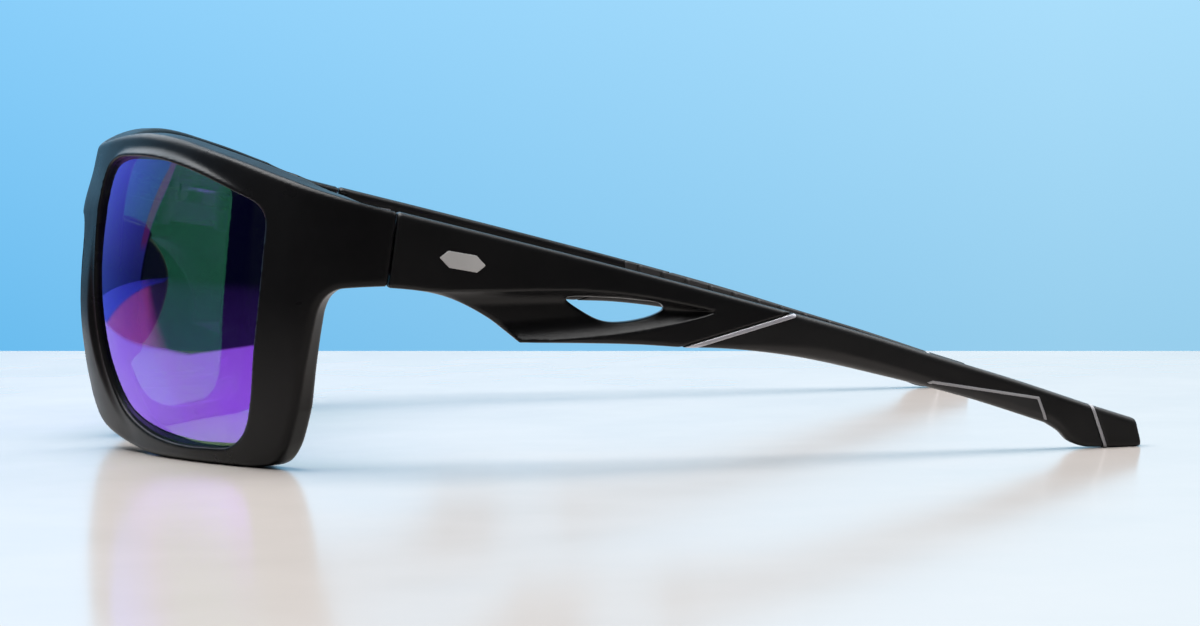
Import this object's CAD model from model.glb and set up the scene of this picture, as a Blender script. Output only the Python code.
import math

import bpy
import numpy as np
from mathutils import Matrix, Vector


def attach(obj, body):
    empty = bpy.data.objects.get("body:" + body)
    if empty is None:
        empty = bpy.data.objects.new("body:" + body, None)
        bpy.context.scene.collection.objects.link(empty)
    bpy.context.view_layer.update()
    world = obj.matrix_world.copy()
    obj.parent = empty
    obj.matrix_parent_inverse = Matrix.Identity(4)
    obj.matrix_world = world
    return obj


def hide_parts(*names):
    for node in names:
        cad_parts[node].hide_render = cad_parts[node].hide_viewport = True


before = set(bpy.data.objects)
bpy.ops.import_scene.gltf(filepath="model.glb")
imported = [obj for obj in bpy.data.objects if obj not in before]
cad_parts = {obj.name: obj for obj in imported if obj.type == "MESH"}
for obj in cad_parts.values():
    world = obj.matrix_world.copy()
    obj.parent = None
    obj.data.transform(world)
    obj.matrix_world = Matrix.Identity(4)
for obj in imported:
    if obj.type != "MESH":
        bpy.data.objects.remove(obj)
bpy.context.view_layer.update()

# All modelling is in millimetres, measured from the foremost point of the bridge on the
# table; MM and DEPTH_SHIFT take it to the metres and origin of the CAD frame.
MM = 0.001
DEPTH_SHIFT = -80.85

# ------------------------------------------------------------------ sizes shared with the CAD
NOSE_ARC = (28.7, 0.0, 8.0)
LENS_ARC = (105.0, 8.0, 45.0)
CORNER_ARC = (16.0, 45.0, 93.0)
CROWN_RADIUS = 90.0
CROWN_HEIGHT = 26.0
RIM_DEPTH = 4.6
BLOCK_DEPTH = 6.0
SEAM_LOW = (45.1, 27.8)
SEAM_HIGH = (46.95, 39.1)
SEAM_LEAN = (SEAM_HIGH[0] - SEAM_LOW[0]) / (SEAM_HIGH[1] - SEAM_LOW[1])
SEAM_HALF_GAP = 0.13
SIDE_X = 68.04
SIDE_Y = 46.95
SIDE_SLOPE = math.tan(math.radians(3.0))
TEMPLE_DROP = 0.27
HINGE = np.array([61.5, 46.0, 33.3])

# Room cut for the hinge: a round one for the knuckles and a pocket for each leaf.
KNUCKLE_ROOM = 2.05
KNUCKLE_HALF_HEIGHT = 4.75
FRONT_LEAF_FACE = 61.6
ARM_LEAF_FACE = 62.0
FRONT_POCKET_LENGTH = 8.7
ARM_POCKET_LENGTH = 9.7
POCKET_HALF_HEIGHT = 3.2
POCKET_OUTWARD = 1.0
POCKET_INWARD = 9.0

FAR = 1e9
NO_LENGTH = 1e-12


def crown(z):
    """How far an outer face falls back at height z."""
    return CROWN_RADIUS - np.sqrt(CROWN_RADIUS ** 2 - (z - CROWN_HEIGHT) ** 2)


def guide():
    """Arcs of the front in plan: run start, run end, radius, heading, centre."""
    arcs, x, y, run = [], 0.0, 0.0, 0.0
    for radius, first, last in (NOSE_ARC, LENS_ARC, CORNER_ARC):
        a, b = math.radians(first), math.radians(last)
        cx, cy = x - radius * math.sin(a), y + radius * math.cos(a)
        arcs.append((run, run + radius * (b - a), radius, a, cx, cy))
        x, y = cx + radius * math.sin(b), cy - radius * math.cos(b)
        run += radius * (b - a)
    return arcs, (run, x, y, math.radians(CORNER_ARC[2]))


ARCS, TAIL = guide()


def wrap(p):
    """World position (mm) of points given as (run along the front, height, height above it)."""
    s, z, h = p[..., 0], p[..., 1], p[..., 2]
    side = np.where(s < 0, -1.0, 1.0)
    run = np.abs(s)
    out = h - crown(z)
    tail_start, x0, y0, t0 = TAIL
    reach = run - tail_start
    x = x0 + reach * math.cos(t0) + out * math.sin(t0)
    y = y0 + reach * math.sin(t0) - out * math.cos(t0)
    for start, end, radius, a, cx, cy in ARCS:
        inside = (run >= start) & (run <= end)
        t = a + (run - start) / radius
        r = radius + out
        x = np.where(inside, cx + r * np.sin(t), x)
        y = np.where(inside, cy - r * np.cos(t), y)
    return np.stack([side * x, y, z], -1)


# ------------------------------------------------------------------ curves and fields
def curve_through(points, closed=False, steps=10):
    """Dense points on a smooth curve (centripetal Catmull-Rom) through the given ones."""
    p = np.array(points, float)
    if closed:
        q = np.vstack([p[-1], p, p[0], p[1]])
    else:
        q = np.vstack([2 * p[0] - p[1], p, 2 * p[-1] - p[-2]])
    out = []
    for i in range(1, len(q) - 2):
        a, b, c, d = q[i - 1:i + 3]
        ta = 0.0
        tb = ta + math.sqrt(np.linalg.norm(b - a))
        tc = tb + math.sqrt(np.linalg.norm(c - b))
        td = tc + math.sqrt(np.linalg.norm(d - c))
        for t in np.linspace(tb, tc, steps, endpoint=False):
            ab = (tb - t) / (tb - ta) * a + (t - ta) / (tb - ta) * b
            bc = (tc - t) / (tc - tb) * b + (t - tb) / (tc - tb) * c
            cd = (td - t) / (td - tc) * c + (t - tc) / (td - tc) * d
            abc = (tc - t) / (tc - ta) * ab + (t - ta) / (tc - ta) * bc
            bcd = (td - t) / (td - tb) * bc + (t - tb) / (td - tb) * cd
            out.append((tc - t) / (tc - tb) * abc + (t - tb) / (tc - tb) * bcd)
    if not closed:
        out.append(p[-1])
    return np.array(out)


def outline_distance(u, v, outline):
    """Signed distance to a closed outline in its own plane, negative inside."""
    best = np.full(u.shape, FAR)
    inside = np.zeros(u.shape, bool)
    n = len(outline)
    for i in range(n):
        ax, ay = outline[i]
        bx, by = outline[(i + 1) % n]
        ex, ey = bx - ax, by - ay
        size = ex * ex + ey * ey
        if size < NO_LENGTH:
            continue
        wx, wy = u - ax, v - ay
        t = np.clip((wx * ex + wy * ey) / size, 0, 1)
        best = np.minimum(best, (wx - t * ex) ** 2 + (wy - t * ey) ** 2)
        if ay != by:
            crosses = ((ay <= v) & (v < by)) | ((by <= v) & (v < ay))
            inside ^= crosses & (u < ax + (v - ay) / (by - ay) * ex)
    distance = np.sqrt(best)
    return np.where(inside, -distance, distance)


class Plan:
    """Signed distance to an outline, kept on a grid and read smoothly."""

    def __init__(self, outline, low, high, cell=0.35):
        self.low = np.array(low, float)
        self.cell = cell
        counts = [int(math.ceil((high[i] - low[i]) / cell)) + 1 for i in (0, 1)]
        u = self.low[0] + np.arange(counts[0]) * cell
        v = self.low[1] + np.arange(counts[1]) * cell
        uu, vv = np.meshgrid(u, v, indexing="ij")
        self.values = outline_distance(uu, vv, np.asarray(outline))

    def __call__(self, u, v):
        shape = np.broadcast(u, v).shape
        a = (np.broadcast_to(u, shape) - self.low[0]) / self.cell
        b = (np.broadcast_to(v, shape) - self.low[1]) / self.cell
        a = np.clip(a, 1.0, self.values.shape[0] - 2.001)
        b = np.clip(b, 1.0, self.values.shape[1] - 2.001)
        i, j = a.astype(int), b.astype(int)
        wa, wb = smooth_weights(a - i), smooth_weights(b - j)
        total = np.zeros(shape)
        for m in range(4):
            row = np.zeros(shape)
            for n in range(4):
                row += wb[n] * self.values[i + m - 1, j + n - 1]
            total += wa[m] * row
        return total


def smooth_weights(t):
    """Catmull-Rom weights of four neighbours."""
    t2, t3 = t * t, t * t * t
    return (-0.5 * t + t2 - 0.5 * t3, 1 - 2.5 * t2 + 1.5 * t3,
            0.5 * t + 2 * t2 - 1.5 * t3, -0.5 * t2 + 0.5 * t3)


def meet(a, b, r):
    """Intersection of two fields with a rounded edge of radius r."""
    u, v = np.maximum(a + r, 0), np.maximum(b + r, 0)
    return np.minimum(-r, np.maximum(a, b)) + np.sqrt(u * u + v * v)


def join(a, b, r):
    """Union of two fields with a fillet of radius r."""
    return -meet(-a, -b, r)


def ramp(value, low, high):
    """Smooth step from 0 to 1."""
    t = np.clip((value - low) / (high - low), 0, 1)
    return t * t * (3 - 2 * t)


# ------------------------------------------------------------------ meshing
SLAB = 32
RELAX_STEPS = 3
PULL_STEPS = 2
SLOPE_STEP = 0.03


def surface(field, low, high, cell):
    """Quads on the zero surface of a field inside a box, one point per crossed cell."""
    low = np.array(low, float)
    counts = [int(math.ceil((high[i] - low[i]) / cell)) + 1 for i in range(3)]
    axes = [low[i] + np.arange(counts[i]) * cell for i in range(3)]
    grid = np.stack(np.meshgrid(*axes, indexing="ij"), -1)
    f = np.empty(counts)
    for i in range(0, counts[0], SLAB):
        f[i:i + SLAB] = field(grid[i:i + SLAB])
    f[f == 0] = 1e-9
    inside = f < 0
    cells = tuple(c - 1 for c in counts)
    total = np.zeros(cells + (3,))
    hits = np.zeros(cells)
    corners = [(a, b, c) for a in (0, 1) for b in (0, 1) for c in (0, 1)]
    for first in corners:
        for axis in range(3):
            if first[axis]:
                continue
            last = list(first)
            last[axis] = 1
            sa = tuple(slice(o, o + n) for o, n in zip(first, cells))
            sb = tuple(slice(o, o + n) for o, n in zip(last, cells))
            fa, fb = f[sa], f[sb]
            cross = inside[sa] != inside[sb]
            t = np.where(cross, fa / np.where(cross, fa - fb, 1), 0)
            for k in range(3):
                offset = first[k] + (t if k == axis else 0)
                total[..., k] += np.where(cross, offset, 0)
            hits += cross
    active = hits > 0
    index = np.full(cells, -1)
    index[active] = np.arange(active.sum())
    where = np.argwhere(active)
    points = low + (where + total[active] / hits[active][:, None]) * cell
    quads = []
    for axis in range(3):
        b, c = [k for k in range(3) if k != axis]
        sa = [slice(None)] * 3
        sb = [slice(None)] * 3
        sa[axis], sb[axis] = slice(0, -1), slice(1, None)
        for k in (b, c):
            sa[k] = sb[k] = slice(1, -1)
        ia, ib = inside[tuple(sa)], inside[tuple(sb)]
        spots = np.argwhere(ia != ib)
        forward = ia[ia != ib]
        spots[:, b] += 1
        spots[:, c] += 1
        ring = []
        for db, dc in ((-1, -1), (0, -1), (0, 0), (-1, 0)):
            q = spots.copy()
            q[:, b] += db
            q[:, c] += dc
            ring.append(index[q[:, 0], q[:, 1], q[:, 2]])
        ring = np.stack(ring, 1)
        flip = forward == (axis == 1)
        ring[flip] = ring[flip][:, ::-1]
        quads.append(ring)
    quads = np.vstack(quads)
    for step in range(RELAX_STEPS + PULL_STEPS):
        if step < RELAX_STEPS:
            near = np.zeros_like(points)
            count = np.zeros(len(points))
            for k in range(4):
                a, b = quads[:, k], quads[:, (k + 1) % 4]
                np.add.at(near, a, points[b])
                np.add.at(near, b, points[a])
                np.add.at(count, a, 1)
                np.add.at(count, b, 1)
            points += 0.5 * (near / np.maximum(count, 1)[:, None] - points)
        points = pull(field, points, cell)
    return points, quads


def pull(field, points, cell):
    """One step of each point onto the field's zero surface."""
    value = field(points)
    slope = slope_of(field, points)
    size = np.maximum((slope ** 2).sum(1), 1e-4)
    move = slope * (value / size)[:, None]
    length = np.linalg.norm(move, axis=1)
    move *= np.minimum(1, 0.5 * cell / np.maximum(length, 1e-9))[:, None]
    return points - move


def slope_of(field, points):
    """Gradient of a field at points, by central differences."""
    slope = np.empty_like(points)
    for k in range(3):
        d = np.zeros(3)
        d[k] = SLOPE_STEP
        slope[:, k] = (field(points + d) - field(points - d)) / (2 * SLOPE_STEP)
    return slope


def new_object(name, data):
    """Object linked into the scene."""
    thing = bpy.data.objects.new(name, data)
    bpy.context.scene.collection.objects.link(thing)
    return thing


def make_piece(name, world, faces, material, body, replaces):
    """Blender object from points in millimetres, riding on a body."""
    verts = world.copy()
    verts[:, 1] += DEPTH_SHIFT
    verts *= MM
    mesh = bpy.data.meshes.new(name)
    mesh.from_pydata(verts.tolist(), [], [list(map(int, q)) for q in faces])
    mesh.validate()
    mesh.update()
    for polygon in mesh.polygons:
        polygon.use_smooth = True
    mesh.materials.append(material)
    piece = new_object(name, mesh)
    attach(piece, body)
    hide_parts(*replaces)
    return piece


def both_sides(name, world, faces, material, node, body="temple"):
    """A left piece and its mirror image, each standing for the CAD node of its side."""
    mirror = world * np.array([-1.0, 1.0, 1.0])
    for side, points, ring in (("left", world, faces), ("right", mirror, faces[:, ::-1])):
        rider = side + "_temple" if body == "temple" else body
        stands_for = (side + "_" + node,)
        make_piece(side + "_" + name, points, ring, material, rider, stands_for)


# ------------------------------------------------------------------ outlines
# Outlines of the front hold (run along the front, height), but UNDER_EDGE holds
# ((x + y) / sqrt 2 on the outer face, height). Those of the ear and nose pad hold (distance
# back, height) in the ear's own flat frame. Those of the temple hold (y, height).
TOP_EDGE = [(0, 48.9), (10, 49.8), (20, 50.6), (30, 50.9), (40, 50.2), (50, 48.7),
            (60, 46.8), (70, 44.4), (80, 41.8), (90, 39.0), (100, 36.3)]
LENS_EDGE = [(14.4, 24.0), (14.5, 33.0), (15.2, 41.5), (16.9, 45.3), (20.5, 46.8),
             (28.0, 47.3), (38.6, 46.9), (50.0, 45.0), (61.0, 41.9), (65.6, 40.2),
             (67.4, 38.2), (67.3, 33.0), (66.3, 25.5), (64.6, 18.0), (62.4, 10.2),
             (59.9, 5.8), (55.5, 3.2), (48.0, 2.6), (38.0, 2.8), (28.5, 4.3),
             (21.2, 7.4), (17.0, 12.9), (15.1, 18.5)]
UNDER_EDGE = [(76.5, 27.9), (74.3, 27.6), (72.7, 26.5), (71.6, 24.8), (70.7, 22.0),
              (69.3, 17.5), (67.2, 11.6), (65.0, 7.0), (62.6, 3.4), (59.6, 1.0),
              (55.5, 0.15), (52.5, 0.0)]
NOSE_ARCH = [(0.0, 37.2), (3.3, 36.4), (5.4, 34.0), (6.3, 30.0), (6.9, 26.0), (7.4, 20.0),
             (7.5, 15.0), (7.5, 11.0), (7.9, 7.6), (9.3, 5.0), (12.0, 3.4), (15.4, 2.3),
             (18.6, 1.5), (22.0, 0.9), (26.0, 0.4), (30.0, 0.1), (38.0, 0.0)]
APERTURE_HEADING = math.radians(29.0)
LENS_FACE = -1.6
LENS_RISE = 1.1
LENS_DEPTH = 2.0
LENS_TUCK = 0.85
LENS_RINGS = 40
LONGEST_RUN = 92.0
LIP_HEIGHT = 0.35
NOSE_LIP_HEIGHT = 0.1
BROW_SCOOP = 0.7
NOSE_FULLNESS = 1.1
OUTER_ROUND = 0.9
APERTURE_ROUND = 0.45
BACK_ROUND = 1.1
BACK_APERTURE_ROUND = 0.8
SEAM_ROUND = 0.22
EAR_FILLET = 1.4
EAR_START = 2.0
NOSE_SPLAY = 0.42
NOSE_SPLAY_HEIGHT = 14.0
EAR_OUTLINE = [(1.0, 36.6), (6.0, 37.0), (11.4, 35.2), (14.8, 31.4), (15.7, 27.4), (14.6, 21.6),
               (11.6, 16.6), (7.4, 13.4), (2.6, 12.2), (-2.0, 13.0), (-3.0, 25.0), (-2.0, 36.0)]
EAR_BASE = (8.6, 3.0, 24.5)
EAR_TURN = math.radians(15.0)
EAR_LEAN = math.radians(9.0)
EAR_THICK = 2.0
PAD_OUTLINE = [(3.6, 35.0), (8.6, 34.9), (12.4, 32.4), (14.3, 28.0), (13.1, 21.6), (9.6, 16.2),
               (4.6, 14.6), (2.6, 24.5)]
PAD_THICK = 1.15
PAD_SWELL = 0.35

ARM_TOP = [(38.0, 41.75), (45.0, 39.65), (62.0, 35.0), (77.0, 30.85), (92.0, 26.6), (107.0, 22.2)]
ARM_UNDER = [(38.0, 28.2), (45.0, 27.8), (51.4, 26.9), (55.5, 25.5), (60.4, 22.7), (62.9, 20.7),
             (64.9, 19.0)]
ARM_TAIL = [(66.2, 18.95), (77.0, 18.5), (83.0, 18.15), (89.4, 17.55)]
CREASE = [(38.0, 27.9), (46.0, 27.4), (60.0, 26.9), (74.0, 26.6), (84.0, 25.4), (95.0, 22.85)]
LOWER_LIP = [(95.0, 22.5), (88.0, 20.9), (80.0, 19.8), (72.0, 19.25), (64.5, 18.9), (56.0, 18.6)]
VENT = [(72.2, 25.4), (78.0, 25.35), (83.0, 24.85), (86.7, 24.1), (87.1, 23.4),
        (85.3, 22.4), (81.0, 21.6), (77.8, 21.8), (74.6, 23.4)]
SLEEVE_TOP = [(107.0, 22.2), (118.0, 18.8), (130.0, 14.8), (142.0, 10.85), (153.9, 6.6)]
SLEEVE_UNDER = [(89.4, 17.55), (97.0, 17.05), (107.8, 15.4), (121.0, 12.1), (134.0, 8.4),
                (146.5, 4.1)]
HOOK = [(146.5, 4.1), (148.6, 2.7), (150.0, 1.25), (152.2, 0.35), (155.9, 0.05)]
TIP_RING = [(155.9, 0.05), (153.9, 6.6)]
RING_HALF = 0.24
RING_GAP = 0.22
TIP_END = [(160.3, 4.45), (160.8, 4.2), (161.1, 3.7), (161.6, 0.7), (161.5, 0.2), (161.0, 0.0)]
GRIP = [(125.6, 10.0), (128.6, 11.0), (145.3, 8.0), (147.0, 2.9)]
TEMPLE_WALL = [(38.0, 5.6), (50.0, 5.2), (60.0, 4.6), (75.0, 3.9), (95.0, 3.6),
               (120.0, 3.5), (145.0, 3.3), (170.0, 3.0)]
GRIP_STRIP = [(98.5, 24.7), (141.0, 11.25), (141.0, 8.6), (139.0, 8.0), (100.5, 19.6),
              (98.5, 21.2)]
STRIP_GROOVES = 9
FIRST_GROOVE = 100.6
GROOVE_SHIFT = 0.3
GROOVE_PITCH = 4.3
GROOVE_HALF = 0.34
GROOVE_FLOOR = 0.15
STRIP_RISE = 0.7
STRIP_SINK = 0.8
STRIPE = [(90.0, 17.2), (107.2, 21.75)]
STRIPE_HALF = 0.33
GRIP_LINE_HALF = 0.24
MARK_CENTRE = (56.5, 31.4)
MARK_HALF = (3.5, 1.3)
MARK_LEAN = 0.2
MARK_TAPER = 0.4


# ------------------------------------------------------------------ front frame
def heading(s):
    """Direction the front faces at a run, in radians from -Y."""
    run = np.abs(s)
    t = run / NOSE_ARC[0]
    for start, _, radius, a, _, _ in ARCS:
        t = np.where(run >= start, a + (run - start) / radius, t)
    return np.minimum(t, TAIL[3])


def run_at(key, value, z):
    """Run along the front where key(face position) takes a value, at height z."""
    runs = np.linspace(0.0, LONGEST_RUN, 1200)
    points = np.stack([runs, np.full_like(runs, z), np.zeros_like(runs)], -1)
    return float(np.interp(value, key(wrap(points)), runs))


def front_outline():
    """Closed outline of half the front in run and height, reaching past the middle."""
    diagonal = math.sqrt(0.5)
    low = [(run_at(lambda w: (w[:, 0] + w[:, 1]) * diagonal, a, z), z) for a, z in UNDER_EDGE]
    top = curve_through(TOP_EDGE)
    right = curve_through([(100.0, 27.9)] + low)
    base = curve_through(NOSE_ARCH[::-1])
    mirror = [(-s, z) for s, z in base[::-1] if s < 14.0 and z > 8.0][1:]
    start = [(-s, z) for s, z in top[::-1] if 0 < s < 14.0]
    return np.array(start + list(top) + list(right) + list(base) + mirror)


OUTER = Plan(front_outline(), (-14.0, -3.0), (102.0, 54.0))
APERTURE = Plan(curve_through(LENS_EDGE, closed=True), (4.0, -6.0), (78.0, 56.0))
EAR = Plan(curve_through(EAR_OUTLINE, closed=True), (-6.0, 8.0), (20.0, 41.0))


def lens_gap(s, z, h):
    """Signed distance to the lens opening, negative inside it."""
    lean = np.tan(np.clip(heading(s) - APERTURE_HEADING, -0.6, 0.6))
    return APERTURE(s + (h - LENS_FACE) * lean, z)


def lens_height(s):
    """Outer face of the lens: nearer the rim face beside the nose."""
    return LENS_FACE + LENS_RISE * (1.0 - ramp(s, 8.0, 40.0))


def seam_y(z):
    """Depth of the seam between front and temple at height z."""
    return SEAM_LOW[0] + (z - SEAM_LOW[1]) * SEAM_LEAN


def face_height(s, z, gap):
    """Height of the moulded front face above the plain wall: lip round the lens, scooped brow
    and a fuller rim beside the nose."""
    top = ramp(z, 30.0, 42.0)
    along = 1.0 - ramp(s, 52.0, 69.0)
    nasal = 1.0 - ramp(s, 15.0, 24.0)
    crest = np.exp(-((gap - 0.3) / 0.5) ** 2)
    lip = (LIP_HEIGHT * top * along + NOSE_LIP_HEIGHT * nasal * (1 - top)) * crest
    scoop = BROW_SCOOP * ramp(z, 38.0, 45.5) * (1.0 - ramp(s, 40.0, 68.0)) * ramp(gap, 0.3, 1.5)
    full = (1.0 - ramp(s, 10.0, 24.0)) * (1.0 - ramp(z, 18.0, 38.0)) * ramp(s, 1.0, 6.0)
    return lip - scoop + NOSE_FULLNESS * full * ramp(gap, 0.2, 3.0)


def ear_frame(world):
    """Coordinates of a point in the flat frame of the nose ear: out, back, up."""
    x = np.abs(world[..., 0]) - EAR_BASE[0]
    y, z = world[..., 1] - EAR_BASE[1], world[..., 2] - EAR_BASE[2]
    ca, sa = math.cos(EAR_LEAN), math.sin(EAR_LEAN)
    x, z = ca * x + sa * z, -sa * x + ca * z
    cb, sb = math.cos(EAR_TURN), math.sin(EAR_TURN)
    return cb * x - sb * y, sb * x + cb * y + EAR_BASE[1], z + EAR_BASE[2]


def ear_field(world):
    """Ear behind the rim that carries a nose pad, in world millimetres."""
    x, y, z = ear_frame(world)
    plate = np.abs(x - EAR_THICK / 2) - EAR_THICK / 2
    return meet(EAR(y, z), plate, 0.9)


def turned(world):
    """Coordinates at the hinge: across, along the temple, up the axis."""
    size = math.sqrt(1 + SEAM_LEAN ** 2)
    c, s = 1 / size, SEAM_LEAN / size
    d = np.stack([np.abs(world[..., 0]), world[..., 1], world[..., 2]], -1) - HINGE
    return d[..., 0], c * d[..., 1] - s * d[..., 2], s * d[..., 1] + c * d[..., 2]


def hinge_void(world, face_x, start, end):
    """Free space for the knuckles, and the pocket of the leaf lying between start and end."""
    x, y, w = turned(world)
    room = np.maximum(np.hypot(x, y) - KNUCKLE_ROOM, np.abs(w) - KNUCKLE_HALF_HEIGHT)
    pocket = np.maximum(np.abs(y - (start + end) / 2) - (end - start) / 2,
                        np.abs(w) - POCKET_HALF_HEIGHT)
    pocket = np.maximum(pocket, x - (face_x + POCKET_OUTWARD - HINGE[0]))
    pocket = np.maximum(pocket, face_x - POCKET_INWARD - HINGE[0] - x)
    return np.minimum(room, pocket)


def cut_at_seam(solid, side):
    """Field ended at the seam with a softened edge, where side (positive beyond it) is 0."""
    return meet(solid, side / math.hypot(1, SEAM_LEAN), SEAM_ROUND)


def front_field(p):
    """Whole front moulding: rims, bridge, brow, end pieces, nose ears and hinge room."""
    s, z, h = np.abs(p[..., 0]), p[..., 1], p[..., 2]
    world = wrap(p)
    fade = np.minimum(1, z / NOSE_SPLAY_HEIGHT).clip(0) * (1 - ramp(s, 16.0, 34.0))
    edge = OUTER(s + NOSE_SPLAY * fade * h, z)
    gap = lens_gap(s, z, h)
    front = h - face_height(s, z, gap)
    outer = meet(edge, front, OUTER_ROUND - 0.2 * ramp(s, 34.0, 60.0) * ramp(z, 25.0, 35.0))
    inner = meet(-gap, front, APERTURE_ROUND)
    depth = RIM_DEPTH + (BLOCK_DEPTH - RIM_DEPTH) * ramp(s, 78.5, 81.5) * ramp(z, 18.0, 22.0)
    back = -h - depth
    solid = np.maximum(meet(outer, back, BACK_ROUND), meet(inner, back, BACK_APERTURE_ROUND))
    ear = np.maximum(ear_field(world), -gap + 0.1)
    ear = np.maximum(ear, h + EAR_START)
    solid = join(solid, ear, EAR_FILLET)
    solid = cut_at_seam(solid, world[..., 1] - seam_y(z) + SEAM_HALF_GAP)
    return np.maximum(solid, -hinge_void(world, FRONT_LEAF_FACE, -FRONT_POCKET_LENGTH, 0.0))


# ------------------------------------------------------------------ temple
def outer_x(y):
    """Distance of the temple's outer face from the middle plane, at depth y."""
    return SIDE_X - (y - SIDE_Y) * SIDE_SLOPE


def along_temple(p):
    """World position (mm) of points given as (distance back, height, height above the face)."""
    y, z, h = p[..., 0], p[..., 1], p[..., 2]
    return np.stack([outer_x(y) - crown(z + TEMPLE_DROP * (y - SEAM_LOW[0])) + h, y, z], -1)


WALL_LINE = curve_through(TEMPLE_WALL)


def inner_side(y, z, h):
    """Signed distance past the inner face of the temple."""
    wall = np.interp(y, WALL_LINE[:, 0], WALL_LINE[:, 1])
    return -(h - crown(z + TEMPLE_DROP * (y - SEAM_LOW[0]))) - wall


def polygon(*runs):
    """Closed outline of several runs of points."""
    return np.array([tuple(q) for run in runs for q in run])


TEMPLE = Plan(polygon(curve_through(ARM_TOP + SLEEVE_TOP[1:]), TIP_END, curve_through(HOOK)[::-1],
                      curve_through(SLEEVE_UNDER)[::-1], curve_through(ARM_TAIL)[::-1],
                      curve_through(ARM_UNDER)[::-1]), (34.0, -4.0), (168.0, 46.0), 0.3)
OPENING = Plan(curve_through(VENT, closed=True), (66.0, 16.0), (94.0, 31.0), 0.25)
CREASE_LINE = curve_through(CREASE)
LIP_LINE = curve_through(LOWER_LIP)[::-1]
GRIP_AREA = Plan(polygon(GRIP, [(147.6, 0.0), (117.6, 0.0)]), (110.0, -4.0), (166.0, 18.0), 0.2)
STRIP_AREA = Plan(polygon(GRIP_STRIP), (90.0, 0.0), (150.0, 32.0), 0.25)
SPLIT = ((89.4, 17.55), (107.0, 22.2))
SPLIT_HALF_GAP = 0.03
HOLLOW_DEPTH = 1.75
INNER_ROUND = 0.9
# Middle height of the temple along its length: the upper and lower edges are rounded differently.
MIDDLE_Y = (45.0, 66.0, 107.0, 150.0, 161.0)
MIDDLE_Z = (34.0, 27.0, 19.0, 5.5, 2.2)


def hollow_depth(y, z):
    """Depth of the scooped pocket in the lower half of the arm."""
    crease = np.interp(y, CREASE_LINE[:, 0], CREASE_LINE[:, 1])
    lip = np.interp(y, LIP_LINE[:, 0], LIP_LINE[:, 1])
    room = np.maximum(crease - lip, 0.05)
    depth = (HOLLOW_DEPTH - 0.4 * ramp(y, 80.0, 94.0)) * ramp(room, 0.1, 1.6)
    fall = 1 - (1 - np.clip((crease - z) / np.minimum(2.2, 0.5 * room), 0, 1)) ** 2
    rise = 1 - (1 - np.clip((z - lip) / np.minimum(3.4, 0.75 * room), 0, 1)) ** 2
    return np.where(y < 95.0, depth * fall * rise, 0.0)


def temple_body(p):
    """Whole temple from the hinge to its end, before it is split into pieces."""
    y, z, h = p[..., 0], p[..., 1], p[..., 2]
    edge = TEMPLE(y, z)
    face = h + hollow_depth(y, z)
    middle = np.interp(y, MIDDLE_Y, MIDDLE_Z)
    upper = 0.8 + 0.1 * ramp(y, 70.0, 110.0)
    swell = ramp(y, 92.0, 116.0) * (1 - 0.45 * ramp(y, 120.0, 132.0))
    lower = 0.5 + 2.0 * swell * (1 - ramp(y, 147.0, 153.0))
    radius = lower + (upper - lower) * ramp(z - middle, -1.5, 1.5)
    return meet(meet(edge, face, radius), inner_side(y, z, h), INNER_ROUND)


def side_of(line, y, z):
    """Distance to the rear side of a line given from its lower to its upper end."""
    (ay, az), (by, bz) = line
    return ((y - ay) * (bz - az) - (z - az) * (by - ay)) / math.hypot(by - ay, bz - az)


def off_path(path, y, z):
    """Distance to an open row of straight lines."""
    best = np.full(np.shape(y), FAR)
    for (ay, az), (by, bz) in zip(path[:-1], path[1:]):
        dy, dz = by - ay, bz - az
        t = np.clip(((y - ay) * dy + (z - az) * dz) / (dy * dy + dz * dz), 0, 1)
        best = np.minimum(best, np.hypot(y - ay - t * dy, z - az - t * dz))
    return best


def arm_field(p):
    """Hard part of the temple: vent, joint with the sleeve, seam and hinge room."""
    y, z = p[..., 0], p[..., 1]
    solid = meet(temple_body(p), -OPENING(y, z), 0.3)
    solid = meet(solid, side_of(SPLIT, y, z) + SPLIT_HALF_GAP, 0.15)
    solid = cut_at_seam(solid, seam_y(z) + SEAM_HALF_GAP - y)
    return np.maximum(solid, -hinge_void(along_temple(p), ARM_LEAF_FACE, 0.0, ARM_POCKET_LENGTH))


def sleeve_field(p):
    """Soft rear of the temple, up to the tip ring."""
    y, z = p[..., 0], p[..., 1]
    solid = meet(temple_body(p), SPLIT_HALF_GAP - side_of(SPLIT, y, z), 0.2)
    return meet(solid, side_of(TIP_RING, y, z) + RING_GAP, 0.12)


def tip_cap_field(p):
    """End of the temple behind the tip ring."""
    y, z = p[..., 0], p[..., 1]
    return meet(temple_body(p), RING_GAP - side_of(TIP_RING, y, z), 0.12)


def tip_trim_field(p):
    """Thin ring round the whole section, a hair proud of its neighbours."""
    y, z = p[..., 0], p[..., 1]
    return np.maximum(temple_body(p) - 0.03, np.abs(side_of(TIP_RING, y, z)) - RING_HALF)


def inlay(region, depth, proud, soft=0.1):
    """Field of a piece let into the outer face, standing proud by a hair."""
    def field(p):
        y, z, h = p[..., 0], p[..., 1], p[..., 2]
        solid = meet(temple_body(p) - proud, region(y, z), soft)
        return np.maximum(solid, -depth - h)
    return field


def stripe_region(y, z):
    """Band along the joint of arm and sleeve."""
    return off_path(STRIPE, y, z) - STRIPE_HALF


def grip_line_region(y, z):
    """Line round the grip inlay."""
    return off_path(GRIP, y, z) - GRIP_LINE_HALF


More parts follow.
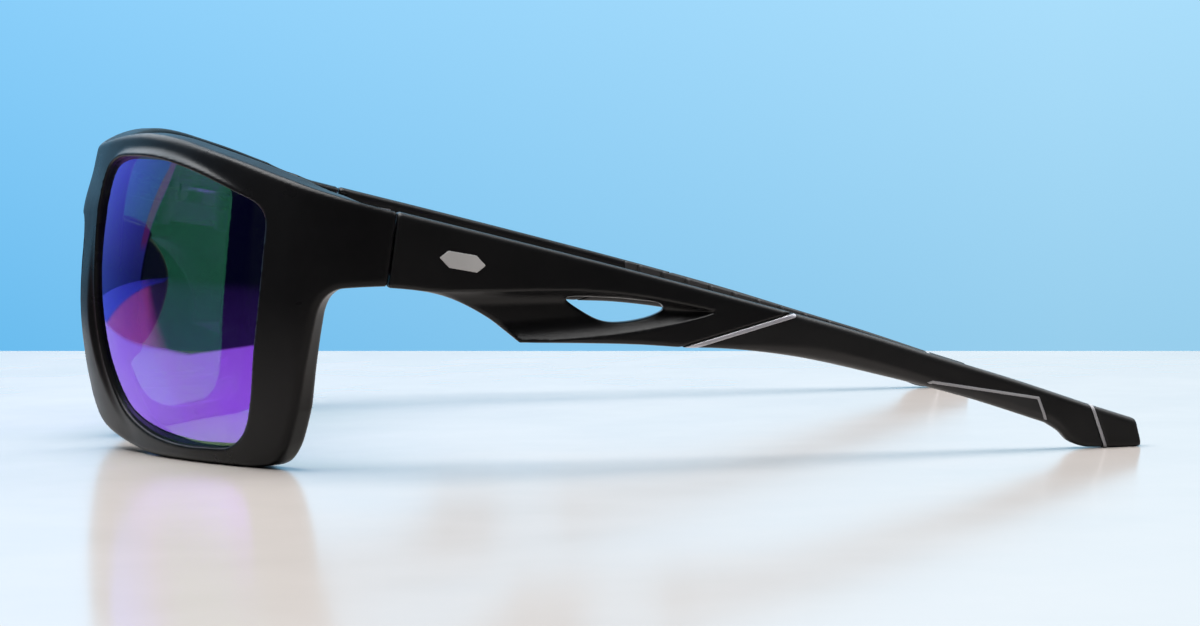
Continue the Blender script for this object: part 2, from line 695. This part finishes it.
def mark_region(y, z):
    """Plain six-sided badge, longer than high."""
    u = np.abs(y - MARK_CENTRE[0])
    v = np.abs(z - MARK_CENTRE[1] + MARK_LEAN * (y - MARK_CENTRE[0]))
    slope = MARK_TAPER * MARK_HALF[0] / MARK_HALF[1]
    corner = (u + slope * v - MARK_HALF[0]) / math.hypot(1, slope)
    return np.maximum(v - MARK_HALF[1], corner)


def grip_strip_field(p):
    """Rubber strip on the inner face, parted into ribs by upright grooves."""
    y, z, h = p[..., 0], p[..., 1], p[..., 2]
    inner = inner_side(y, z, h)
    solid = meet(meet(STRIP_AREA(y, z), TEMPLE(y, z) + 0.1, 0.2), inner - STRIP_RISE, 0.3)
    solid = np.maximum(solid, -STRIP_SINK - inner)
    along = y - FIRST_GROOVE - GROOVE_SHIFT
    number = np.clip(np.round(along / GROOVE_PITCH), 0, STRIP_GROOVES - 1)
    off = np.abs(along - number * GROOVE_PITCH) - GROOVE_HALF
    return meet(solid, -np.maximum(off, GROOVE_FLOOR - inner), 0.15)


# ------------------------------------------------------------------ materials
GRAIN_HEIGHT = 0.00004
BRUSH_HEIGHT = 0.00003


def nodes_of(name):
    """New material with an empty node tree."""
    material = bpy.data.materials.new(name)
    material.use_nodes = True
    tree = material.node_tree
    tree.nodes.clear()
    return material, tree


def add(tree, kind, **values):
    """New node; values set inputs by name with spaces as underscores, or plain attributes."""
    node = tree.nodes.new(kind)
    for key, value in values.items():
        label = key.replace("_", " ")
        if label in node.inputs:
            node.inputs[label].default_value = value
        else:
            setattr(node, key, value)
    return node


def noise(tree, scale, detail=3.0, stretch=(1.0, 1.0, 1.0)):
    """Noise in object space; scale counts features per metre."""
    place = add(tree, "ShaderNodeTexCoord")
    mapping = add(tree, "ShaderNodeMapping")
    mapping.inputs["Scale"].default_value = stretch
    tree.links.new(place.outputs["Object"], mapping.inputs["Vector"])
    texture = add(tree, "ShaderNodeTexNoise", Scale=scale, Detail=detail, Roughness=0.6)
    tree.links.new(mapping.outputs["Vector"], texture.inputs["Vector"])
    return texture.outputs["Fac"]


def remap(tree, value, low, high, out_low, out_high):
    """Value taken from the range low..high to out_low..out_high, clamped."""
    node = add(tree, "ShaderNodeMapRange")
    for key, number in (("From Min", low), ("From Max", high), ("To Min", out_low),
                        ("To Max", out_high)):
        node.inputs[key].default_value = number
    tree.links.new(value, node.inputs["Value"])
    return node.outputs["Result"]


def blend_colour(tree, share, low, high):
    """Colour between two sockets or plain colours; share 0 gives low, 1 gives high."""
    node = add(tree, "ShaderNodeMix", data_type="RGBA")
    colours = [socket for socket in node.inputs if socket.type == "RGBA"]
    for socket, value in zip(colours, (low, high)):
        if hasattr(value, "links"):
            tree.links.new(value, socket)
        else:
            socket.default_value = (*value, 1.0)
    tree.links.new(share, node.inputs["Factor"])
    return next(socket for socket in node.outputs if socket.type == "RGBA")


def combine(tree, a, b, operation="MULTIPLY"):
    """Result of one Math node on two sockets or numbers."""
    node = add(tree, "ShaderNodeMath", operation=operation)
    for socket, value in zip(node.inputs, (a, b)):
        if hasattr(value, "links"):
            tree.links.new(value, socket)
        else:
            socket.default_value = value
    return node.outputs[0]


def bump_up(tree, shader, height, strength, distance):
    """Fine relief of a shader's surface from a height socket; distance in metres."""
    bump = add(tree, "ShaderNodeBump", Strength=strength, Distance=distance)
    tree.links.new(height, bump.inputs["Height"])
    tree.links.new(bump.outputs["Normal"], shader.inputs["Normal"])


def put_out(tree, shader, kind="ShaderNodeOutputMaterial"):
    """Links a shader to the tree's output."""
    out = add(tree, kind)
    tree.links.new(shader.outputs[0], out.inputs["Surface"])


def plastic(name, colour, pale, rough, rough_spread, grain_scale, grain, wear, metallic=0.0,
            specular=0.5):
    """Moulded or painted surface: mottled colour and gloss, fine grain, paler worn edges."""
    material, tree = nodes_of(name)
    shader = add(tree, "ShaderNodeBsdfPrincipled", Metallic=metallic)
    shader.inputs["Specular IOR Level"].default_value = specular
    mottle = noise(tree, 55.0, 4.0)
    base = blend_colour(tree, remap(tree, mottle, 0.3, 0.7, 0.0, 1.0), colour, pale)
    edge = add(tree, "ShaderNodeNewGeometry").outputs["Pointiness"]
    worn = remap(tree, edge, 0.53, 0.62, 0.0, wear)
    patchy = remap(tree, noise(tree, 260.0, 2.0), 0.35, 0.65, 0.2, 1.0)
    worn = combine(tree, worn, patchy)
    bright = tuple(min(1.0, c * 2.2 + 0.012) for c in pale)
    base = blend_colour(tree, worn, base, bright)
    tree.links.new(base, shader.inputs["Base Color"])
    smear = noise(tree, 130.0, 3.0, (1.0, 0.35, 1.0))
    rough_value = remap(tree, smear, 0.3, 0.7, rough - rough_spread, rough + rough_spread)
    tree.links.new(rough_value, shader.inputs["Roughness"])
    fine = noise(tree, grain_scale, 2.0)
    bump_up(tree, shader, fine, grain, GRAIN_HEIGHT)
    put_out(tree, shader)
    return material


def steel(name, tint, rough):
    """Brushed steel with fine lines along the leaf."""
    material, tree = nodes_of(name)
    shader = add(tree, "ShaderNodeBsdfPrincipled", Metallic=1.0)
    shader.inputs["Anisotropic"].default_value = 0.4
    lines = noise(tree, 900.0, 3.0, (1.0, 0.06, 1.0))
    base = blend_colour(tree, remap(tree, lines, 0.3, 0.7, 0.0, 1.0),
                        tuple(c * 0.8 for c in tint), tint)
    tree.links.new(base, shader.inputs["Base Color"])
    tree.links.new(remap(tree, lines, 0.3, 0.7, rough - 0.08, rough + 0.1),
                   shader.inputs["Roughness"])
    bump_up(tree, shader, lines, 0.25, BRUSH_HEIGHT)
    put_out(tree, shader)
    return material


def lens_glass(name, seen_through, mirrored, steep_gloss):
    """Tinted lens face: colour seen through it, colour mirrored by its coating."""
    material, tree = nodes_of(name)
    clear = add(tree, "ShaderNodeBsdfTransparent")
    haze = remap(tree, noise(tree, 40.0), 0.3, 0.7, 0.0, 1.0)
    tint = blend_colour(tree, haze, tuple(c * 0.95 for c in seen_through), seen_through)
    tree.links.new(tint, clear.inputs["Color"])
    coat = add(tree, "ShaderNodeBsdfGlossy")
    smear = noise(tree, 160.0, 3.0, (1.0, 1.0, 0.5))
    rough = remap(tree, smear, 0.35, 0.7, 0.01, 0.028)
    tree.links.new(rough, coat.inputs["Roughness"])
    coat.inputs["Color"].default_value = (*mirrored, 1.0)
    both = add(tree, "ShaderNodeAddShader")
    tree.links.new(clear.outputs[0], both.inputs[0])
    tree.links.new(coat.outputs[0], both.inputs[1])
    sheen = add(tree, "ShaderNodeBsdfGlossy")
    sheen.inputs["Color"].default_value = (0.9, 0.93, 1.0, 1.0)
    tree.links.new(rough, sheen.inputs["Roughness"])
    facing = add(tree, "ShaderNodeLayerWeight", Blend=0.5).outputs["Facing"]
    mix = add(tree, "ShaderNodeMixShader")
    steep = combine(tree, combine(tree, facing, 5.0, "POWER"), steep_gloss)
    tree.links.new(steep, mix.inputs["Fac"])
    tree.links.new(both.outputs[0], mix.inputs[1])
    tree.links.new(sheen.outputs[0], mix.inputs[2])
    put_out(tree, mix)
    return material


FRAME_BLACK = plastic("frame_black", (0.0035, 0.0035, 0.004), (0.0055, 0.0055, 0.006),
                      rough=0.31, rough_spread=0.05, grain_scale=9000.0, grain=0.35, wear=0.35,
                      specular=0.11)
ARM_BLACK = plastic("arm_black", (0.0045, 0.0045, 0.005), (0.0065, 0.0065, 0.007),
                    rough=0.31, rough_spread=0.05, grain_scale=9000.0, grain=0.35, wear=0.35,
                    specular=0.22)
SLEEVE_BLACK = plastic("sleeve_black", (0.0055, 0.0055, 0.006), (0.0085, 0.0085, 0.009),
                       rough=0.44, rough_spread=0.05, grain_scale=7000.0, grain=0.5, wear=0.25,
                       specular=0.3)
GRIP_BLACK = plastic("grip_rubber", (0.014, 0.014, 0.015), (0.019, 0.019, 0.02),
                     rough=0.60, rough_spread=0.05, grain_scale=5000.0, grain=0.8, wear=0.2,
                     specular=0.35)
SOFT_BLACK = plastic("soft_rubber", (0.018, 0.018, 0.019), (0.025, 0.025, 0.026),
                     rough=0.58, rough_spread=0.05, grain_scale=5200.0, grain=0.6, wear=0.2)
SILVER = plastic("silver_line", (0.36, 0.36, 0.40), (0.44, 0.44, 0.48),
                 rough=0.42, rough_spread=0.06, grain_scale=6000.0, grain=0.25, wear=0.2,
                 metallic=0.35)
GREY = plastic("grey_line", (0.26, 0.26, 0.28), (0.33, 0.33, 0.35),
               rough=0.42, rough_spread=0.06, grain_scale=6000.0, grain=0.25, wear=0.2)
BADGE = plastic("badge_grey", (0.34, 0.34, 0.34), (0.44, 0.44, 0.44),
                rough=0.45, rough_spread=0.08, grain_scale=5000.0, grain=0.4, wear=0.2)
HINGE_STEEL = steel("hinge_steel", (0.55, 0.55, 0.57), 0.3)
SCREW_STEEL = steel("screw_steel", (0.62, 0.62, 0.62), 0.22)
LENS_MIRROR = lens_glass("lens_mirror", (0.25, 0.37, 0.20), (0.21, 0.055, 0.70), 1.0)
LENS_TINT = lens_glass("lens_tint", (0.86, 0.93, 0.93), (0.012, 0.02, 0.016), 0.1)


# ------------------------------------------------------------------ making the pieces
def build(field, place, low, high, cell):
    """Mesh of a field's surface in a box, with its points placed in the world (mm)."""
    points, quads = surface(field, low, high, cell)
    return place(points), quads


def temple_piece(name, field, low, high, cell, material, node):
    """Left and right copies of one temple piece."""
    points, quads = build(field, along_temple, low, high, cell)
    both_sides(name, points, quads, material, node)


points, quads = build(front_field, wrap, (-92.0, -1.2, -17.6), (92.0, 52.4, 1.2), 0.42)
make_piece("front", points, quads, FRAME_BLACK, "front", ["front_frame"])
temple_piece("arm_shell", arm_field, (43.0, 16.6, -8.4), (109.0, 41.6, 0.8), 0.33,
             ARM_BLACK, "arm")
temple_piece("sleeve_shell", sleeve_field, (87.0, -0.8, -8.0), (157.6, 24.4, 0.8), 0.36,
             SLEEVE_BLACK, "sleeve")
temple_piece("tip_shell", tip_cap_field, (152.6, -0.8, -8.0), (163.0, 8.2, 0.8), 0.25,
             SLEEVE_BLACK, "tip_cap")
temple_piece("tip_ring", tip_trim_field, (152.6, -0.8, -8.0), (157.4, 8.2, 0.8), 0.13,
             GREY, "tip_trim")
temple_piece("silver_band", inlay(stripe_region, 0.8, 0.04), (88.8, 16.0, -2.6), (108.6, 23.2, 0.6),
             0.11, SILVER, "stripe")
temple_piece("grip_inlay", inlay(GRIP_AREA, 0.85, 0.02, 0.15), (116.0, 1.6, -5.6), (149.0, 12.4, 0.6),
             0.25, GRIP_BLACK, "grip")
temple_piece("grip_line", inlay(grip_line_region, 0.5, 0.05),
             (124.6, 1.6, -3.6), (148.2, 12.0, 0.6), 0.11, GREY, "grip_trim")
temple_piece("badge", inlay(mark_region, 0.2, 0.03, 0.05), (52.4, 28.8, -1.6), (60.6, 34.0, 0.5),
             0.12, BADGE, "mark")
temple_piece("ribbed_pad", grip_strip_field, (97.6, 7.0, -9.2), (142.0, 25.6, -1.0), 0.25,
             GRIP_BLACK, "inner_pad")


PAD = Plan(curve_through(PAD_OUTLINE, closed=True), (-2.0, 10.0), (18.0, 40.0), 0.25)


def nose_pad_field(p):
    """Soft pad on the nose side of the ear, thicker in its middle."""
    x, y, z = ear_frame(p)
    swell = PAD_SWELL * np.clip(-PAD(y, z) / 4.0, 0, 1) ** 0.5
    outer = -x - PAD_THICK - swell
    return np.maximum(meet(PAD(y, z), outer, 0.7), x - 0.15)


points, quads = build(nose_pad_field, lambda p: p, (4.0, 0.0, 11.0), (17.0, 18.0, 39.0), 0.3)
both_sides("soft_pad", points, quads, SOFT_BLACK, "nose_pad", body="front")


# ------------------------------------------------------------------ lenses
def lens_mesh():
    """Two-faced curved lens, in rings from its middle to its edge."""
    rim = curve_through(LENS_EDGE, closed=True, steps=6)
    middle = rim.mean(0)
    rings = LENS_RINGS
    count = len(rim)
    verts, faces = [], []
    for side, h in enumerate((LENS_FACE, LENS_FACE - LENS_DEPTH)):
        base = side * (rings * count + 1)
        verts.append((*middle, h - LENS_FACE + float(lens_height(middle[0]))))
        for k in range(1, rings + 1):
            share = k / rings
            for q in rim:
                d = q - middle
                out = q + d / np.linalg.norm(d) * LENS_TUCK
                lean = (h - LENS_FACE) * math.tan(float(heading(q[0])) - APERTURE_HEADING)
                edge = np.array([out[0] - lean, out[1]])
                spot = middle + (edge - middle) * share
                verts.append((*spot, h - LENS_FACE + float(lens_height(spot[0]))))
        for i in range(count):
            j = (i + 1) % count
            tri = [base, base + 1 + i, base + 1 + j]
            faces.append(tri if side else tri[::-1])
        for k in range(rings - 1):
            for i in range(count):
                j = (i + 1) % count
                a = base + 1 + k * count
                b = a + count
                quad = [a + i, b + i, b + j, a + j]
                faces.append(quad if side else quad[::-1])
    front_edge = 1 + (rings - 1) * count
    back_edge = front_edge + rings * count + 1
    for i in range(count):
        j = (i + 1) % count
        faces.append([front_edge + i, front_edge + j, back_edge + j, back_edge + i])
    return wrap(np.array(verts)), faces


def lens_pieces():
    """Both lenses; the coating covers the outer face, the tint the inner face and the edge."""
    world, faces = lens_mesh()
    coated = len(world) // 2
    for side, sign in (("left", 1.0), ("right", -1.0)):
        ring = faces if sign > 0 else [f[::-1] for f in faces]
        piece = make_piece(side + "_lens_glass", world * np.array([sign, 1, 1]), ring,
                           LENS_MIRROR, "front", [side + "_lens"])
        piece.data.materials.append(LENS_TINT)
        for polygon in piece.data.polygons:
            if max(polygon.vertices) >= coated:
                polygon.material_index = 1


lens_pieces()

# ------------------------------------------------------------------ pieces kept from the CAD
KEPT = {"front_leaf": HINGE_STEEL, "front_leaf_screws": SCREW_STEEL,
        "hinge_screw": SCREW_STEEL, "arm_leaf": HINGE_STEEL, "arm_leaf_screws": SCREW_STEEL}
for name, material in KEPT.items():
    for side in ("left_", "right_"):
        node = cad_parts[side + name]
        node.data.materials.clear()
        node.data.materials.append(material)


# ------------------------------------------------------------------ camera, floor and light
CAMERA_SPOT = (681.29, -2.744, 61.38)
CAMERA_TURN = 82.6
CAMERA_DROP = 3.53
CAMERA_ROLL = -1.065
CAMERA_LENS = 123.948
SENSOR_WIDTH = 36.0


def camera():
    """Camera fitted to the picture: low, from the wearer's left, a little ahead."""
    azimuth = math.radians(CAMERA_TURN)
    drop = math.radians(CAMERA_DROP)
    roll = math.radians(CAMERA_ROLL)
    forward = Vector((-math.sin(azimuth) * math.cos(drop), math.cos(azimuth) * math.cos(drop),
                      -math.sin(drop)))
    level = Vector((math.cos(azimuth), math.sin(azimuth), 0))
    upright = level.cross(forward)
    right = math.cos(roll) * level + math.sin(roll) * upright
    up = -math.sin(roll) * level + math.cos(roll) * upright
    data = bpy.data.cameras.new("camera")
    data.lens = CAMERA_LENS
    data.sensor_width = SENSOR_WIDTH
    data.clip_start = 0.01
    data.clip_end = 10.0
    view = new_object("camera", data)
    x, y, z = CAMERA_SPOT
    spot = Vector((x, y + DEPTH_SHIFT, z)) * MM
    rows = [[right[i], up[i], -forward[i], spot[i]] for i in range(3)] + [[0, 0, 0, 1]]
    view.matrix_world = Matrix(rows)
    bpy.context.scene.camera = view


TABLE_CORNERS = [(-0.9988, -1.9939), (0.5580, 1.8357), (2.0, 1.8357), (2.0, -1.9939)]
TABLE_PALE = ((0.463, 0.425, 0.400), (0.483, 0.443, 0.415))
DIM_AHEAD = (0.03, 0.08, 0.24)
DIM_MIDDLE = (0.03, 0.03, 0.035)
DIM_WARM = (0.40, 0.11, 0.11)


def floor():
    """Pale, slightly glossy table top, evenly pale to the camera. All other rays see it dim past
    a slanting line ahead of the front, in three colours that give the lens its zones."""
    material, tree = nodes_of("table_white")
    shader = add(tree, "ShaderNodeBsdfPrincipled")
    shader.inputs["Specular IOR Level"].default_value = 0.35
    pale = blend_colour(tree, noise(tree, 6.0, 3.0), *TABLE_PALE)
    place = add(tree, "ShaderNodeTexCoord")
    parts = add(tree, "ShaderNodeSeparateXYZ")
    tree.links.new(place.outputs["Object"], parts.inputs[0])
    # Pale behind the line y = -0.15 - 0.33 |x|, and not far out on the near side.
    aside = combine(tree, combine(tree, parts.outputs["X"], 1.0, "ABSOLUTE"), 0.33)
    edge = combine(tree, parts.outputs["Y"], aside, "ADD")
    lit = combine(tree, remap(tree, edge, -0.152, -0.145, 0.0, 1.0),
                remap(tree, parts.outputs["X"], 0.22, 0.36, 1.0, 0.0))
    seen = add(tree, "ShaderNodeLightPath").outputs["Is Camera Ray"]
    lit = combine(tree, lit, seen, "MAXIMUM")
    # Dim zones, parted by the lines x - 0.5 y = -0.05 and x - 0.716 y = 0.083.
    right = combine(tree, parts.outputs["X"], combine(tree, parts.outputs["Y"], -0.716), "ADD")
    left = combine(tree, parts.outputs["X"], combine(tree, parts.outputs["Y"], -0.5), "ADD")
    near = remap(tree, left, -0.055, -0.042, 0.0, 1.0)
    warm = combine(tree, remap(tree, right, 0.076, 0.090, 1.0, 0.0), near)
    dim = blend_colour(tree, near, DIM_AHEAD, DIM_MIDDLE)
    dim = blend_colour(tree, warm, dim, DIM_WARM)
    tree.links.new(blend_colour(tree, lit, dim, pale), shader.inputs["Base Color"])
    tree.links.new(remap(tree, noise(tree, 30.0), 0.3, 0.7, 0.13, 0.16),
                   shader.inputs["Roughness"])
    put_out(tree, shader)
    mesh = bpy.data.meshes.new("table")
    corners = [(x, y, 0) for x, y in TABLE_CORNERS]
    mesh.from_pydata(corners, [], [list(range(len(corners)))[::-1]])
    mesh.materials.append(material)
    table = new_object("table", mesh)


SKY_LOW = ((0.14, 0.50, 0.86), (0.31, 0.62, 0.85))
SKY_HIGH = ((0.25, 0.62, 0.96), (0.41, 0.74, 0.98))
SKY_BELOW = (0.80, 0.86, 0.90)
STRIP_PINK = (0.9, 0.35, 0.5)
DARK_SIDE = 0.012
SOFT_LIGHT = 0.16


def sky():
    """Pale blue surroundings for the camera. Reflections see them only on the far side (-X), with
    a thin pink strip where they end, and nearly black elsewhere. Diffuse light sees dim white."""
    world = bpy.data.worlds.new("surroundings")
    world.use_nodes = True
    tree = world.node_tree
    tree.nodes.clear()
    place = add(tree, "ShaderNodeTexCoord")
    parts = add(tree, "ShaderNodeSeparateXYZ")
    tree.links.new(place.outputs["Generated"], parts.inputs[0])
    height = parts.outputs["Z"]
    across = combine(tree, parts.outputs["X"], combine(tree, height, -0.28), "ADD")
    strength = combine(tree, remap(tree, across, -0.86, -0.62, 0.95, 0.3),
                     remap(tree, height, -0.02, 0.14, 0.5, 1.0))
    inside = remap(tree, across, -0.605, -0.600, 1.0, 0.0)
    lit = combine(tree, combine(tree, strength, inside), DARK_SIDE, "MAXIMUM")
    ray = add(tree, "ShaderNodeLightPath").outputs
    lit = combine(tree, lit, ray["Is Camera Ray"], "MAXIMUM")
    rightward = remap(tree, parts.outputs["Y"], -0.02, 0.24, 0.0, 1.0)
    low = blend_colour(tree, rightward, *SKY_LOW)
    high = blend_colour(tree, rightward, *SKY_HIGH)
    colour = blend_colour(tree, remap(tree, height, -0.07, 0.02, 0.0, 1.0), low, high)
    below = remap(tree, height, -0.16, -0.08, 1.0, 0.0)
    colour = blend_colour(tree, below, colour, SKY_BELOW)
    strip = combine(tree, remap(tree, across, -0.622, -0.620, 0.0, 1.0), inside)
    strip = combine(tree, strip, remap(tree, height, 0.02, 0.04, 0.0, 1.0))
    strip = combine(tree, strip, combine(tree, 1.0, ray["Is Camera Ray"], "SUBTRACT"))
    colour = blend_colour(tree, strip, colour, STRIP_PINK)
    soft = ray["Is Diffuse Ray"]
    colour = blend_colour(tree, soft, colour, (1.0, 1.0, 1.0))
    lit = combine(tree, lit, combine(tree, 1.0, soft, "SUBTRACT"))
    lit = combine(tree, lit, combine(tree, soft, SOFT_LIGHT), "ADD")
    light = add(tree, "ShaderNodeBackground")
    tree.links.new(colour, light.inputs["Color"])
    tree.links.new(lit, light.inputs["Strength"])
    put_out(tree, light, "ShaderNodeOutputWorld")
    bpy.context.scene.world = world


def lamp(name, place, aim, width, height, watts):
    """White rectangular area light, facing the point it aims at."""
    data = bpy.data.lights.new(name, "AREA")
    data.shape = "RECTANGLE"
    data.size, data.size_y = width, height
    data.energy = watts
    light = new_object(name, data)
    light.location = place
    light.rotation_euler = (Vector(aim) - Vector(place)).to_track_quat("-Z", "Y").to_euler()


camera()
floor()
sky()
bpy.context.scene.view_settings.view_transform = "Standard"
lamp("overhead", (-0.08, -0.25, 0.85), (0.0, -0.05, 0.0), 0.8, 0.95, 25.0)
lamp("beyond_the_brow", (-0.75, -0.45, 0.52), (0.03, -0.07, 0.04), 0.7, 0.35, 1.9)
lamp("beyond_the_tips", (-0.3, 0.75, 0.85), (0.0, -0.04, 0.02), 0.9, 0.5, 7.0)
